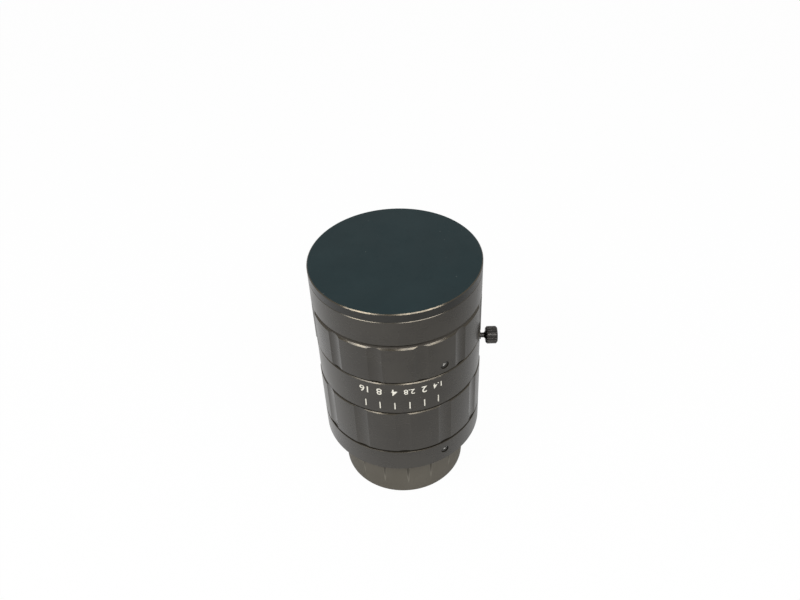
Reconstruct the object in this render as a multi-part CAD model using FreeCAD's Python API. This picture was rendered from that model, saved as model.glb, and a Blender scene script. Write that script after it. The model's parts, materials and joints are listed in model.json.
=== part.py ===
import FreeCAD, Part
import math
import os

# Machine vision lens with a C-mount, standing on its rear cap with the front cap on.
# Millimetres and degrees. +Z is the optical axis, towards the front of the lens.
# The origin is the centre of the rear cap's bottom face.
# An azimuth of 0 faces -Y and grows towards +X, so turning about +Z adds to it.

# Outside of the barrel, from the rear to the front
barrel_r = 19.5
rear_cap_h = 14.7
rear_band_h = 6.22
ring_gap = 0.55
iris_grip_h = 12.93
iris_band_h = 9.6
focus_ring_h = 10.05
focus_gap = 1.05
front_band_h = 6.55
front_cap_h = 2.14
edge_chamfer = 0.2
focus_front_chamfer = 0.3

# Grips: shallow scallops round the two rings
grip_count = 12
focus_scallop_w = 3.2
focus_scallop_depth = 0.34
focus_scallop_azimuth = 13.5
iris_scallop_w = 3.5
iris_scallop_depth = 0.28
iris_band_step = 0.15
iris_groove_w = 0.45
iris_groove_depth = 0.3

# Fits between turned pieces
running_clear = 0.05
axial_clear = 0.05
seat_clear = 0.02
blade_slot_clear = 0.075

# Cutters start this far inside a bore, run this far past a face, and fused pieces overlap by this much
cut_before = 0.5
cut_past = 1.0
fuse_over = 0.2

# Camera mount: 1 inch by 32 threads, drawn as its outer cylinder
mount_thread_r = 12.7
mount_thread_len = 4.0
mount_relief_w = 0.7
mount_relief_depth = 0.35
mount_wall = 1.7
mount_floor_t = 1.52
mount_screw_height = 3.45

# Rear cap
rear_cap_play = 0.6
rear_cap_wall = 2.1
rear_cap_floor_t = 1.6
rear_cap_chamfer = 0.6
flute_count = 16
flute_w = 1.2
flute_depth = 0.45
flute_start = 3.2
flute_azimuth = 2.0

# Front cap and the neck that it is pushed over
front_cap_t = 1.1
front_cap_chamfer = 0.2
front_shoulder_w = 1.0
neck_h = 0.85
filter_wall = 1.02
filter_depth = 3.4
filter_lead_in = 0.3
filter_cone_w = 0.5
filter_cone_gap = 0.2

# Main barrel, which carries both rings
iris_ring_wall = 2.3
focus_ring_wall = 1.7
collar_inset = 0.1
collar_t = 1.0
collar_play = 0.2
sleeve_flange_w = 1.9
sleeve_flange_t = 3.55
sleeve_stop_w = 0.65
sleeve_stop_t = 1.0
neck_wall = 1.3

# Focus helicoid: one turn of the ring moves the lens unit by the pitch
helicoid_wall = 1.2
helicoid_pitch = 0.75
focus_turn = 120.0
focus_play = 0.25
sleeve_top_gap = 0.26

# Focus stop: a pin in the collar and an arc groove under the sleeve
stop_pin_r = 0.45
stop_pin_depth = 0.8
stop_groove_depth = 0.75

# Guide pins that keep the lens unit from turning
guide_count = 3
guide_pin_r = 1.0
guide_height = 12.0
guide_reach = 2.0

# Grub screws: three in the focus ring and three in the rear band
grub_count = 3
grub_r = 1.0
grub_azimuth = 30.0
grub_recess = 0.2
grub_chamfer = 0.2
grub_socket_r = 0.45
grub_socket_depth = 0.7
focus_grub_height = 2.2

# Thumbscrews that lock the rings
lock_thread_r = 1.0
lock_pitch = 0.4
lock_in_turn = 120.0
lock_neck_r = 0.6
lock_neck_len = 1.17
lock_neck_gap = 0.1
knob_r = 2.1
knob_len = 2.8
knob_chamfer = 0.35
knob_flare = 0.4
knob_ribs = 20
knob_rib_r = 0.2
pad_t = 0.65
pad_spare = 0.02
iris_lock_azimuth = 88.0
iris_lock_height = 18.66
focus_lock_azimuth = 180.0
focus_lock_height = 2.77

# Front lens unit
filter_step = 1.98
front_seat_drop = 3.6
front_seat_w = 1.5
retainer_t = 1.3
retainer_land = 1.9
spanner_slot_w = 1.2
spanner_slot_depth = 0.6
first_front_curve = 45.0
first_t = 1.8
second_front_curve = 30.0
second_t = 1.4
second_share = 0.742
third_curve = 22.0
third_edge_t = 1.085
third_share = 0.783
hollow_ratio = 1.25
clear_share = 0.67
front_spacer_t = 1.35
middle_spacer_t = 2.56
spacer_land = 1.3

# Iris diaphragm
iris_web_t = 0.9
cell_wall = 1.4
cam_t = 2.0
cam_inset = 0.3
blade_count = 6
blade_t = 0.1
blade_pitch = 0.18
blade_cover = 0.2
blade_inset = 1.3
blade_sweep = 132.0
blade_ear_r = 0.85
pivot_inset = 2.7
pivot_pin_r = 0.4
drive_arm = 3.0
drive_lead = 78.75
blade_turn = 22.5
iris_turn = 50.0
iris_plate_t = 1.0
aperture_r = 4.5
drive_pin_r = 0.6
drive_pin_azimuth = 210.0
drive_pin_reach = 1.05
drive_pin_depth = 1.35
drive_slot_depth = 1.25

# Rear lens unit: five elements in one straight bore
rear_cell_gap = 0.6
rear_cell_wall = 1.9
rear_seat_t = 2.2
rear_seat_w = 1.5
rear_seat_bevel = 1.0
rear_cell_lip = 0.6
rear_cell_flange_gap = 0.4
rear_cell_flange_t = 1.4
unit_tail_height = 9.8
fourth_edge_t = 0.73
fourth_ratio = 2.12
doublet_front_ratio = 1.88
doublet_inner_ratio = 1.53
doublet_rear_ratio = 2.35
doublet_edge_t = 0.6
doublet_rear_t = 1.5
seventh_ratio = 2.24
seventh_edge_t = 0.78
eighth_ratio = 2.35
eighth_edge_t = 1.1
air_fourth = 1.0
air_doublet = 4.2
air_seventh = 1.4
rear_spacer_land = 1.1
rear_retainer_t = 1.4

# Radii worked out from the walls and clearances above, from the outside inwards
band_r = barrel_r - iris_band_step
main_barrel_r = barrel_r - iris_ring_wall - running_clear
sleeve_r = barrel_r - focus_ring_wall
collar_r = sleeve_r - collar_inset
focus_neck_r = sleeve_r - sleeve_flange_w
sleeve_ring_r = focus_neck_r + sleeve_stop_w
stop_circle_r = (focus_neck_r + collar_r) / 2
helicoid_r = sleeve_r - helicoid_wall
slide_r = focus_neck_r - neck_wall
guide_out_r = slide_r + guide_reach
lock_neck_start = barrel_r + lock_neck_gap
neck_r = barrel_r - front_shoulder_w
filter_bore_r = neck_r - filter_wall
first_r = filter_bore_r - filter_step
first_clear_r = first_r * clear_share
first_rear_curve = first_clear_r * hollow_ratio
front_seat_r = first_r - front_seat_w
second_r = first_r * second_share
second_clear_r = second_r * clear_share
second_rear_curve = second_clear_r * hollow_ratio
third_r = second_r * third_share
iris_bore_r = slide_r - cell_wall
pivot_r = iris_bore_r - pivot_inset
blade_out_r = pivot_r - blade_inset
blade_clear_r = aperture_r + blade_cover
cam_in_r = blade_out_r - cam_inset
cam_r = iris_bore_r - running_clear
drive_pin_out_r = main_barrel_r + drive_pin_reach
mount_bore_r = mount_thread_r - mount_wall
rear_cell_r = mount_bore_r - rear_cell_gap
rear_cell_flange_r = slide_r - rear_cell_flange_gap
rear_bore_r = rear_cell_r - rear_cell_wall
rear_seat_r = rear_bore_r - rear_seat_w
fourth_curve = rear_bore_r * fourth_ratio
doublet_front_curve = rear_bore_r * doublet_front_ratio
doublet_inner_curve = rear_bore_r * doublet_inner_ratio
doublet_rear_curve = rear_bore_r * doublet_rear_ratio
seventh_curve = rear_bore_r * seventh_ratio
eighth_curve = rear_bore_r * eighth_ratio
rear_cap_bore_r = mount_thread_r + rear_cap_play
rear_cap_r = rear_cap_bore_r + rear_cap_wall


def sag(curve, radius):
    """How far a spherical surface falls away from its vertex; a hollow surface has a negative curve."""
    if curve == 0:
        return 0.0
    size = abs(curve)
    return math.copysign(size - math.sqrt(size ** 2 - radius ** 2), curve)


# Heights worked out from the lengths above
flange_z = rear_cap_h
rear_band_top = flange_z + rear_band_h
iris_bottom = rear_band_top + ring_gap
iris_step_z = iris_bottom + iris_grip_h
iris_top = iris_step_z + iris_band_h
focus_bottom = iris_top + ring_gap
focus_top = focus_bottom + focus_ring_h
front_bottom = focus_top + focus_gap
front_shoulder = front_bottom + front_band_h
overall_h = front_shoulder + front_cap_h
neck_top = front_shoulder + neck_h
mount_floor_z = flange_z + mount_floor_t
collar_bottom = iris_top - collar_play - axial_clear
collar_top = collar_bottom + collar_t
sleeve_bottom = collar_top + axial_clear
sleeve_flange_top = sleeve_bottom + sleeve_flange_t
sleeve_top = focus_top - sleeve_top_gap
stop_ring_bottom = sleeve_flange_top + axial_clear
stop_ring_top = stop_ring_bottom + sleeve_stop_t
focus_travel = helicoid_pitch * 2 * focus_turn / 360
unit_bottom = stop_ring_top + focus_travel / 2 + focus_play
unit_tail_end = mount_floor_z + unit_tail_height

# Places of the front elements, from their seat rearwards, and of the iris
first_seat_z = front_bottom - front_seat_drop
first_rear_z = first_seat_z + sag(first_rear_curve, first_clear_r)
first_front_z = first_rear_z + first_t
retainer_z = first_front_z - sag(first_front_curve, first_r - retainer_land) + seat_clear
front_spacer_low = first_seat_z - front_spacer_t
second_front_z = front_spacer_low + sag(second_front_curve, second_r - spacer_land) - seat_clear
second_rear_z = second_front_z - second_t
second_seat_z = second_rear_z - sag(second_rear_curve, second_clear_r)
middle_spacer_low = second_seat_z - middle_spacer_t
third_contact_sag = sag(third_curve, third_r - spacer_land)
third_front_z = middle_spacer_low + third_contact_sag - seat_clear
third_rear_z = third_front_z - third_edge_t - 2 * sag(third_curve, third_r)
third_web_z = third_rear_z + third_contact_sag - seat_clear
cam_top = third_web_z - iris_web_t - axial_clear
cam_bottom = cam_top - cam_t
blade_stack = (blade_count - 1) * blade_pitch + blade_t
blade_base = cam_bottom - axial_clear - blade_stack
plate_top = blade_base - axial_clear
plate_bottom = plate_top - iris_plate_t
drive_z = (cam_top + cam_bottom) / 2
rear_seat_z = plate_bottom - rear_seat_t

# Places of the screws
focus_grub_z = focus_bottom + focus_grub_height
mount_grub_z = flange_z + mount_screw_height
iris_lock_z = iris_bottom + iris_lock_height
focus_lock_z = focus_bottom + focus_lock_height
guide_z = mount_floor_z + guide_height
pad_release = lock_pitch * lock_in_turn / 360 + pad_spare


def vec(x, y, z):
    return FreeCAD.Vector(x, y, z)


def turned(points):
    """A turned piece: the profile, given as radius and height, swept round the axis."""
    corners = [vec(r, 0, z) for r, z in points]
    profile = Part.Face(Part.makePolygon(corners + corners[:1]))
    return profile.revolve(vec(0, 0, 0), vec(0, 0, 1), 360)


def tube(inner, outer, low, high):
    return turned([(inner, low), (outer, low), (outer, high), (inner, high)])


def at_azimuth(shape, azimuth):
    placed = shape.copy()
    placed.rotate(vec(0, 0, 0), vec(0, 0, 1), azimuth)
    return placed


def around(shape, count, start=0.0):
    return [at_azimuth(shape, start + 360.0 * i / count) for i in range(count)]


def radial_rod(radius, start, end, height):
    """A round bar pointing outwards at azimuth 0."""
    return Part.makeCylinder(radius, end - start, vec(0, -start, height), vec(0, -1, 0))


def pointing_out(shape, height):
    """A piece turned about Z, laid down so that its own height runs outwards at azimuth 0."""
    laid = shape.copy()
    laid.rotate(vec(0, 0, 0), vec(1, 0, 0), 90)
    laid.translate(vec(0, 0, height))
    return laid


def radial_box(width, start, end, low, high):
    """A straight bar with parallel sides pointing outwards at azimuth 0."""
    return Part.makeBox(width, end - start, high - low, vec(-width / 2, -end, low))


def arc_window(rod_r, half_height, start, end, first_azimuth, last_azimuth, height):
    """The space that a radial pin sweeps through: a ring sector with a straight end round each pin."""
    width = 2 * rod_r
    sector = tube(start, end, height - half_height, height + half_height)
    span = last_azimuth - first_azimuth
    corner = 2 * end
    points = [vec(0, 0, 0)]
    for i in range(5):
        angle = math.radians(first_azimuth + span * i / 4)
        points.append(vec(corner * math.sin(angle), -corner * math.cos(angle), 0))
    wedge = Part.Face(Part.makePolygon(points + points[:1]))
    wedge.translate(vec(0, 0, height - half_height))
    sector = sector.common(wedge.extrude(vec(0, 0, 2 * half_height)))
    stub = radial_box(width, start, end, height - half_height, height + half_height)
    return sector.fuse([at_azimuth(stub, first_azimuth), at_azimuth(stub, last_azimuth)])


def scallop(width, depth, low, high):
    """A cutter for one concave groove along the barrel at azimuth 0."""
    half = width / 2
    drop = barrel_r - math.sqrt(barrel_r ** 2 - half ** 2)
    hollow = depth - drop
    cutter_r = (half ** 2 + hollow ** 2) / (2 * hollow)
    centre = barrel_r - depth + cutter_r
    return Part.makeCylinder(cutter_r, high - low, vec(0, -centre, low))


def lens(front_z, rear_z, front_curve, rear_curve, radius, clear_r=None):
    """A lens element: a bulging surface has a positive curve on either side.

    clear_r is where a hollow rear surface ends and the flat rim begins.
    """
    rim = clear_r or radius
    front = [(r, front_z - sag(front_curve, r)) for r in (0.0, radius / 2, radius)]
    rear = [(r, rear_z + sag(rear_curve, r)) for r in (rim, rim / 2, 0.0)]
    edges = [surface_edge(front)]
    low = (radius, rear[0][1])
    edges.append(Part.makeLine(point(front[-1]), point(low)))
    if rim != radius:
        edges.append(Part.makeLine(point(low), point(rear[0])))
    edges.append(surface_edge(rear))
    edges.append(Part.makeLine(point(rear[-1]), point(front[0])))
    profile = Part.Face(Part.Wire(edges))
    return profile.revolve(vec(0, 0, 0), vec(0, 0, 1), 360)


def point(pair):
    return vec(pair[0], 0, pair[1])


def surface_edge(points):
    start, middle, end = [point(p) for p in points]
    if abs(points[0][1] - points[2][1]) < 1e-9:
        return Part.makeLine(start, end)
    return Part.Arc(start, middle, end).toShape()


def spanner_slots(inner, outer, low, high):
    """Two notches across a threaded ring, for the tool that screws it in."""
    return around(radial_box(spanner_slot_w, inner - cut_past, outer + cut_past, low, high), 2, 90)


def grub_screws(tip, outer, height):
    """Three headless screws with a hexagon socket, their tips on the piece inside."""
    top = outer - grub_recess
    screw = turned([
        (0, tip),
        (grub_r, tip),
        (grub_r, top - grub_chamfer),
        (grub_r - grub_chamfer, top),
        (0, top),
    ])
    corners = []
    for i in range(7):
        angle = math.radians(60 * i)
        corners.append(vec(grub_socket_r * math.cos(angle), grub_socket_r * math.sin(angle), top))
    socket = Part.Face(Part.makePolygon(corners)).extrude(vec(0, 0, -grub_socket_depth))
    screw = pointing_out(screw.cut(socket), height)
    return around(screw, grub_count, grub_azimuth)


def grub_holes(start, height):
    return around(radial_rod(grub_r, start, barrel_r + cut_past, height), grub_count, grub_azimuth)


# The fixed barrel

def make_rear_mount_body():
    """Rear band, flange face and threaded boss, bored for the rear of the lens unit."""
    rim_top = iris_bottom - axial_clear
    rim_r = collar_r
    thread_end = flange_z - mount_thread_len
    relief_r = mount_thread_r - mount_relief_depth
    chamfer = edge_chamfer
    body = turned([
        (mount_bore_r, thread_end),
        (mount_thread_r - chamfer, thread_end),
        (mount_thread_r, thread_end + chamfer),
        (mount_thread_r, flange_z - mount_relief_w),
        (relief_r, flange_z - mount_relief_w),
        (relief_r, flange_z),
        (barrel_r - chamfer, flange_z),
        (barrel_r, flange_z + chamfer),
        (barrel_r, rear_band_top - chamfer / 2),
        (barrel_r - chamfer / 2, rear_band_top),
        (rim_r, rear_band_top),
        (rim_r, rim_top),
        (main_barrel_r, rim_top),
        (main_barrel_r, mount_floor_z),
        (mount_bore_r, mount_floor_z),
    ])
    return body.cut(grub_holes(main_barrel_r - cut_before, mount_grub_z))


def make_main_barrel():
    """The tube that everything turns or slides on, with the collar between the two rings."""
    bore = slide_r + running_clear
    barrel = turned([
        (bore, mount_floor_z),
        (main_barrel_r, mount_floor_z),
        (main_barrel_r, collar_bottom),
        (collar_r, collar_bottom),
        (collar_r, collar_top),
        (focus_neck_r, collar_top),
        (focus_neck_r, stop_ring_top),
        (bore, stop_ring_top),
    ])
    slack = drive_pin_r + running_clear
    window = arc_window(
        slack, slack + focus_travel / 2 + running_clear, slide_r - cut_past, main_barrel_r + cut_past,
        drive_pin_azimuth, drive_pin_azimuth + iris_turn, drive_z,
    )
    slot_half = guide_pin_r + focus_travel / 2 + running_clear
    slot_w = 2 * (guide_pin_r + running_clear)
    slot = radial_box(
        slot_w, slide_r - cut_past, main_barrel_r + cut_past, guide_z - slot_half, guide_z + slot_half,
    )
    stop_place = vec(0, -stop_circle_r, collar_top - stop_pin_depth)
    stop_hole = Part.makeCylinder(stop_pin_r, collar_t, stop_place)
    return barrel.cut([window, stop_hole] + around(slot, guide_count))


def make_focus_retaining_ring():
    """Screwed on the neck above the sleeve's flange, which turns under it."""
    ring = tube(focus_neck_r, sleeve_ring_r, stop_ring_bottom, stop_ring_top)
    notch_low = stop_ring_top - spanner_slot_depth
    return ring.cut(spanner_slots(focus_neck_r, sleeve_ring_r, notch_low, stop_ring_top))


def make_focus_stop_pin():
    low = collar_top - stop_pin_depth
    return Part.makeCylinder(stop_pin_r, stop_pin_depth + stop_groove_depth, vec(0, -stop_circle_r, low))


# The focus ring

def make_focus_ring():
    """The grip ring, clamped round the sleeve by its grub screws."""
    chamfer = edge_chamfer
    ring = turned([
        (sleeve_r, focus_bottom),
        (barrel_r - chamfer / 2, focus_bottom),
        (barrel_r, focus_bottom + chamfer / 2),
        (barrel_r, focus_top - focus_front_chamfer),
        (barrel_r - focus_front_chamfer, focus_top),
        (sleeve_r, focus_top),
    ])
    cutter = scallop(focus_scallop_w, focus_scallop_depth, focus_bottom - cut_past, focus_top + cut_past)
    ring = ring.cut(around(cutter, grip_count, focus_scallop_azimuth))
    ring = ring.cut(grub_holes(sleeve_r - cut_before, focus_grub_z))
    return ring.cut(lock_hole(sleeve_r - cut_before, focus_lock_z, focus_lock_azimuth))


def make_helicoid_sleeve():
    """Turns on the neck, and its upper bore is the nut of the helicoid."""
    flange_bore = focus_neck_r + running_clear
    nut_bore = helicoid_r + running_clear
    sleeve = turned([
        (flange_bore, sleeve_bottom),
        (sleeve_r, sleeve_bottom),
        (sleeve_r, sleeve_top),
        (nut_bore, sleeve_top),
        (nut_bore, sleeve_flange_top),
        (flange_bore, sleeve_flange_top),
    ])
    half_w = stop_pin_r + running_clear
    reach = focus_turn + math.degrees(half_w / stop_circle_r)
    groove_top = sleeve_bottom + stop_groove_depth
    low = sleeve_bottom - cut_past
    ring = tube(stop_circle_r - half_w, stop_circle_r + half_w, low, groove_top)
    stopped = Part.makeCylinder(sleeve_r, groove_top - low, vec(0, 0, low), vec(0, 0, 1), 360 - 2 * reach)
    groove = ring.cut(at_azimuth(stopped, reach - 90))
    sleeve = sleeve.cut(groove)
    return sleeve.cut(lock_hole(focus_neck_r - cut_before, focus_lock_z, focus_lock_azimuth))


# The iris ring

def make_iris_ring():
    """One ring: a smooth scale band in front, a relief groove at its foot and a scalloped grip."""
    chamfer = edge_chamfer
    bore = main_barrel_r + running_clear
    groove_r = band_r - iris_groove_depth
    groove_top = iris_step_z + iris_groove_w
    ring = turned([
        (bore, iris_bottom),
        (barrel_r - chamfer / 2, iris_bottom),
        (barrel_r, iris_bottom + chamfer / 2),
        (barrel_r, iris_step_z - chamfer),
        (barrel_r - chamfer, iris_step_z),
        (groove_r, iris_step_z),
        (groove_r, groove_top),
        (band_r, groove_top),
        (band_r, iris_top - chamfer),
        (band_r - chamfer, iris_top),
        (collar_r + collar_play, iris_top),
        (collar_r + collar_play, collar_bottom - axial_clear),
        (bore, collar_bottom - axial_clear),
    ])
    scallop_end = iris_step_z + iris_groove_w / 2
    cutter = scallop(iris_scallop_w, iris_scallop_depth, iris_bottom - cut_past, scallop_end)
    ring = ring.cut(around(cutter, grip_count))
    ring = ring.cut(lock_hole(main_barrel_r - cut_before, iris_lock_z, iris_lock_azimuth))
    slot_w = 2 * (drive_pin_r + running_clear)
    slot_low = drive_z - drive_pin_r - focus_travel / 2 - 2 * running_clear
    slot = radial_box(slot_w, bore - cut_past, bore + drive_slot_depth, slot_low, iris_top + cut_past)
    return ring.cut(at_azimuth(slot, drive_pin_azimuth))


def lock_hole(start, height, azimuth):
    hole = radial_rod(lock_thread_r + running_clear, start, barrel_r + cut_past, height)
    return at_azimuth(hole, azimuth)


# The thumbscrews

def lock_pad(seat_r, height, azimuth):
    """A soft plug between the screw's tip and the barrel; the screw pushes it but does not turn it."""
    low = seat_r + pad_release
    return at_azimuth(radial_rod(lock_thread_r, low, low + pad_t, height), azimuth)


def lock_screw(seat_r, height, azimuth):
    """A knurled thumbscrew: threaded shank, thin neck and ribbed knob."""
    tip = seat_r + pad_release + pad_t
    shank = radial_rod(lock_thread_r, tip, lock_neck_start, height)
    knob_start = lock_neck_start + lock_neck_len
    neck = radial_rod(lock_neck_r, lock_neck_start - fuse_over, knob_start + fuse_over, height)
    knob_end = knob_start + knob_len
    profile = [
        (0, knob_start - knob_flare),
        (lock_neck_r, knob_start - knob_flare),
        (lock_neck_r + knob_flare, knob_start),
        (knob_r - knob_chamfer, knob_start),
        (knob_r, knob_start + knob_chamfer),
        (knob_r, knob_end - knob_chamfer),
        (knob_r - knob_chamfer, knob_end),
        (0, knob_end),
    ]
    knob = turned(profile)
    groove_place = vec(knob_r + knob_rib_r / 4, 0, knob_start - cut_past)
    groove = Part.makeCylinder(knob_rib_r, knob_len + 2 * cut_past, groove_place)
    knob = knob.cut(around(groove, knob_ribs))
    return at_azimuth(shank.fuse([neck, pointing_out(knob, height)]).removeSplitter(), azimuth)


# The front of the lens unit

def make_front_barrel():
    """Front band, cap neck with the filter thread's bore, and the helicoid's outer thread."""
    chamfer = edge_chamfer
    filter_floor = neck_top - filter_depth
    lead = filter_lead_in
    cone_end = retainer_z + retainer_t + filter_cone_gap
    return turned([
        (front_seat_r, unit_bottom),
        (helicoid_r, unit_bottom),
        (helicoid_r, front_bottom),
        (barrel_r - chamfer / 2, front_bottom),
        (barrel_r, front_bottom + chamfer / 2),
        (barrel_r, front_shoulder - chamfer),
        (barrel_r - chamfer, front_shoulder),
        (neck_r, front_shoulder),
        (neck_r, neck_top - lead),
        (neck_r - lead, neck_top),
        (filter_bore_r + lead, neck_top),
        (filter_bore_r, neck_top - lead),
        (filter_bore_r, filter_floor),
        (filter_bore_r - filter_cone_w, filter_floor),
        (first_r, cone_end),
        (first_r, first_seat_z),
        (front_seat_r, first_seat_z),
    ])


def make_front_retaining_ring():
    low = retainer_z
    high = low + retainer_t
    ring = tube(first_r - retainer_land, first_r, low, high)
    return ring.cut(spanner_slots(first_r - retainer_land, first_r, high - spanner_slot_depth, high))


def make_front_lens_cell():
    """Screwed into the front barrel; slides in the main barrel and holds the iris."""
    web_hole = third_r - spacer_land
    web_low = third_web_z - iris_web_t
    cell = turned([
        (iris_bore_r, unit_tail_end),
        (slide_r, unit_tail_end),
        (slide_r, unit_bottom),
        (front_seat_r, unit_bottom),
        (front_seat_r, first_seat_z),
        (second_r, first_seat_z),
        (second_r, second_seat_z),
        (third_r, second_seat_z),
        (third_r, third_web_z),
        (web_hole, third_web_z),
        (web_hole, web_low),
        (iris_bore_r, web_low),
    ])
    slack = drive_pin_r + running_clear
    window = arc_window(
        slack, slack, iris_bore_r - cut_past, slide_r + cut_past,
        drive_pin_azimuth, drive_pin_azimuth + iris_turn, drive_z,
    )
    hole = radial_rod(guide_pin_r, iris_bore_r - cut_before, slide_r + cut_past, guide_z)
    return cell.cut([window] + around(hole, guide_count))


def make_guide_pins():
    pin = radial_rod(guide_pin_r, iris_bore_r, guide_out_r, guide_z)
    bore = Part.makeCylinder(iris_bore_r, unit_bottom, vec(0, 0, 0))
    return around(pin.cut(bore), guide_count)


def make_front_element():
    return lens(first_front_z, first_rear_z, first_front_curve, -first_rear_curve, first_r, first_clear_r)


def make_second_element():
    return lens(
        second_front_z, second_rear_z, second_front_curve, -second_rear_curve, second_r, second_clear_r,
    )


def make_front_spacer():
    return tube(second_r - spacer_land, second_r, front_spacer_low, first_seat_z)


def make_third_element():
    return lens(third_front_z, third_rear_z, third_curve, third_curve, third_r)


def make_middle_spacer():
    return tube(third_r - spacer_land, third_r, middle_spacer_low, second_seat_z)


# The iris diaphragm

def make_iris_base_plate():
    plate = tube(aperture_r, iris_bore_r, plate_bottom, plate_top)
    through = vec(0, -pivot_r, plate_bottom - iris_plate_t)
    hole = Part.makeCylinder(pivot_pin_r + running_clear, 3 * iris_plate_t, through)
    return plate.cut(around(hole, blade_count))


def drive_point(turn):
    """Where a blade's drive pin is, for the blade with its pivot at azimuth 0, turned by this angle."""
    angle = math.radians(drive_lead + turn)
    x = drive_arm * math.sin(angle)
    y = -pivot_r - drive_arm * math.cos(angle)
    return x, y


def make_iris_blade(number):
    """A crescent leaf with an ear for its pivot and its drive pin, one level above the last leaf."""
    low = blade_base + number * blade_pitch
    leaf = sector_leaf(low)
    pin_low = plate_bottom + axial_clear
    pivot = Part.makeCylinder(pivot_pin_r, low - pin_low, vec(0, -pivot_r, pin_low))
    x, y = drive_point(0)
    pin_top = cam_top - axial_clear
    drive = Part.makeCylinder(pivot_pin_r, pin_top - low - blade_t, vec(x, y, low + blade_t))
    blade = leaf.fuse([pivot, drive])
    return at_azimuth(blade, 360.0 * number / blade_count)


def sector_leaf(low):
    """The leaf's outline: a ring sector from the pivot round, with both ears fused on."""
    ring = tube(blade_clear_r, blade_out_r, low, low + blade_t)
    middle = (blade_clear_r + blade_out_r) / 2
    half = (blade_out_r - blade_clear_r) / 2
    base = vec(0, 0, low - blade_t)
    beyond = Part.makeCylinder(2 * blade_out_r, 3 * blade_t, base, vec(0, 0, 1), 360 - blade_sweep)
    leaf = ring.cut(at_azimuth(beyond, blade_sweep - 90))
    tip = Part.makeCylinder(half, blade_t, vec(0, -middle, low))
    x, y = drive_point(0)
    ears = [at_azimuth(tip, blade_sweep)]
    for ex, ey in ((0, -pivot_r), (x, y)):
        ears.append(Part.makeCylinder(blade_ear_r, blade_t, vec(ex, ey, low)))
        ears.append(ear_web(ex, ey, low))
    return leaf.fuse(ears).removeSplitter()


def ear_web(x, y, low):
    """A strip as wide as the ear, from the ear's centre inwards to the middle of the leaf."""
    azimuth = math.degrees(math.atan2(x, -y))
    radius = math.hypot(x, y)
    strip = radial_box(2 * blade_ear_r, (blade_clear_r + blade_out_r) / 2, radius, low, low + blade_t)
    return at_azimuth(strip, azimuth)


def make_iris_cam_ring():
    """Turned by the iris ring; its slots swing the blades in a constant ratio."""
    ring = tube(cam_in_r, cam_r, cam_bottom, cam_top)
    slot = cam_slot(pivot_pin_r + blade_slot_clear)
    ring = ring.cut(around(slot, blade_count))
    hole = radial_rod(drive_pin_r, cam_r - drive_pin_depth, cam_r + cut_past, drive_z)
    return ring.cut(at_azimuth(hole, drive_pin_azimuth))


def cam_slot(half_w):
    """An arc through the drive pin's places in the cam ring's own frame: open, half way and closed."""
    places = []
    for share in (0.0, 0.5, 1.0):
        x, y = drive_point(share * blade_turn)
        azimuth = math.degrees(math.atan2(x, -y)) - share * iris_turn
        places.append((math.hypot(x, y), math.radians(azimuth)))
    low = cam_bottom - cut_past
    start, middle, end = [vec(r * math.sin(a), -r * math.cos(a), low) for r, a in places]
    centre = Part.Arc(start, middle, end).toShape().Curve.Center
    depth = vec(0, 0, cam_t + 2 * cut_past)
    sides = []
    for offset in (half_w, -half_w):
        ends = []
        for place in (start, middle, end):
            away = (place - centre).normalize()
            ends.append(place + away * offset)
        sides.append(ends)
    outer, inner = sides
    wire = Part.Wire([
        Part.Arc(*outer).toShape(),
        Part.makeLine(outer[2], inner[2]),
        Part.Arc(*inner[::-1]).toShape(),
        Part.makeLine(inner[0], outer[0]),
    ])
    slot = Part.Face(wire).extrude(depth)
    caps = [Part.makeCylinder(half_w, depth.z, place) for place in (start, end)]
    return slot.fuse(caps)


def make_iris_drive_pin():
    pin = radial_rod(drive_pin_r, cam_r - drive_pin_depth, drive_pin_out_r, drive_z)
    return at_azimuth(pin, drive_pin_azimuth)


# The rear of the lens unit

def make_rear_lens_cell():
    """Screwed into the front lens cell from behind; one straight bore for five elements."""
    flange_low = unit_tail_end - rear_cell_flange_t
    rear_end = rear_retainer_z() - rear_cell_lip
    return turned([
        (rear_bore_r, rear_end),
        (rear_cell_r, rear_end),
        (rear_cell_r, flange_low),
        (rear_cell_flange_r, flange_low),
        (rear_cell_flange_r, unit_tail_end),
        (iris_bore_r, unit_tail_end),
        (iris_bore_r, plate_bottom),
        (rear_seat_r + rear_seat_bevel, plate_bottom),
        (rear_seat_r, rear_seat_z),
        (rear_bore_r, rear_seat_z),
    ])


def rear_stack():
    """The rear elements from front to rear as (name, front z, rear z, front curve, rear curve)."""
    edge = rear_bore_r
    fourth = rear_seat_z + sag(fourth_curve, rear_seat_r) - seat_clear
    fourth_rear = fourth - fourth_edge_t - 2 * sag(fourth_curve, edge)
    doublet = fourth_rear - air_fourth
    glue = doublet - doublet_edge_t - sag(doublet_front_curve, edge) - sag(doublet_inner_curve, edge)
    doublet_rear = glue - doublet_rear_t
    seventh = doublet_rear - air_doublet
    seventh_rear = seventh - seventh_edge_t - 2 * sag(seventh_curve, edge)
    eighth = seventh_rear - air_seventh
    eighth_rear = eighth - eighth_edge_t - sag(eighth_curve, edge)
    return [
        ("fourth_element", fourth, fourth_rear, fourth_curve, fourth_curve),
        ("doublet_front_element", doublet, glue, doublet_front_curve, doublet_inner_curve),
        ("doublet_rear_element", glue, doublet_rear, -doublet_inner_curve, -doublet_rear_curve),
        ("seventh_element", seventh, seventh_rear, seventh_curve, seventh_curve),
        ("eighth_element", eighth, eighth_rear, eighth_curve, 0),
    ]


def rear_retainer_z():
    return rear_stack()[-1][2] - seat_clear - rear_retainer_t


def make_rear_elements():
    return {
        name: lens(front, rear, front_curve, rear_curve, rear_bore_r)
        for name, front, rear, front_curve, rear_curve in rear_stack()
    }


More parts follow.
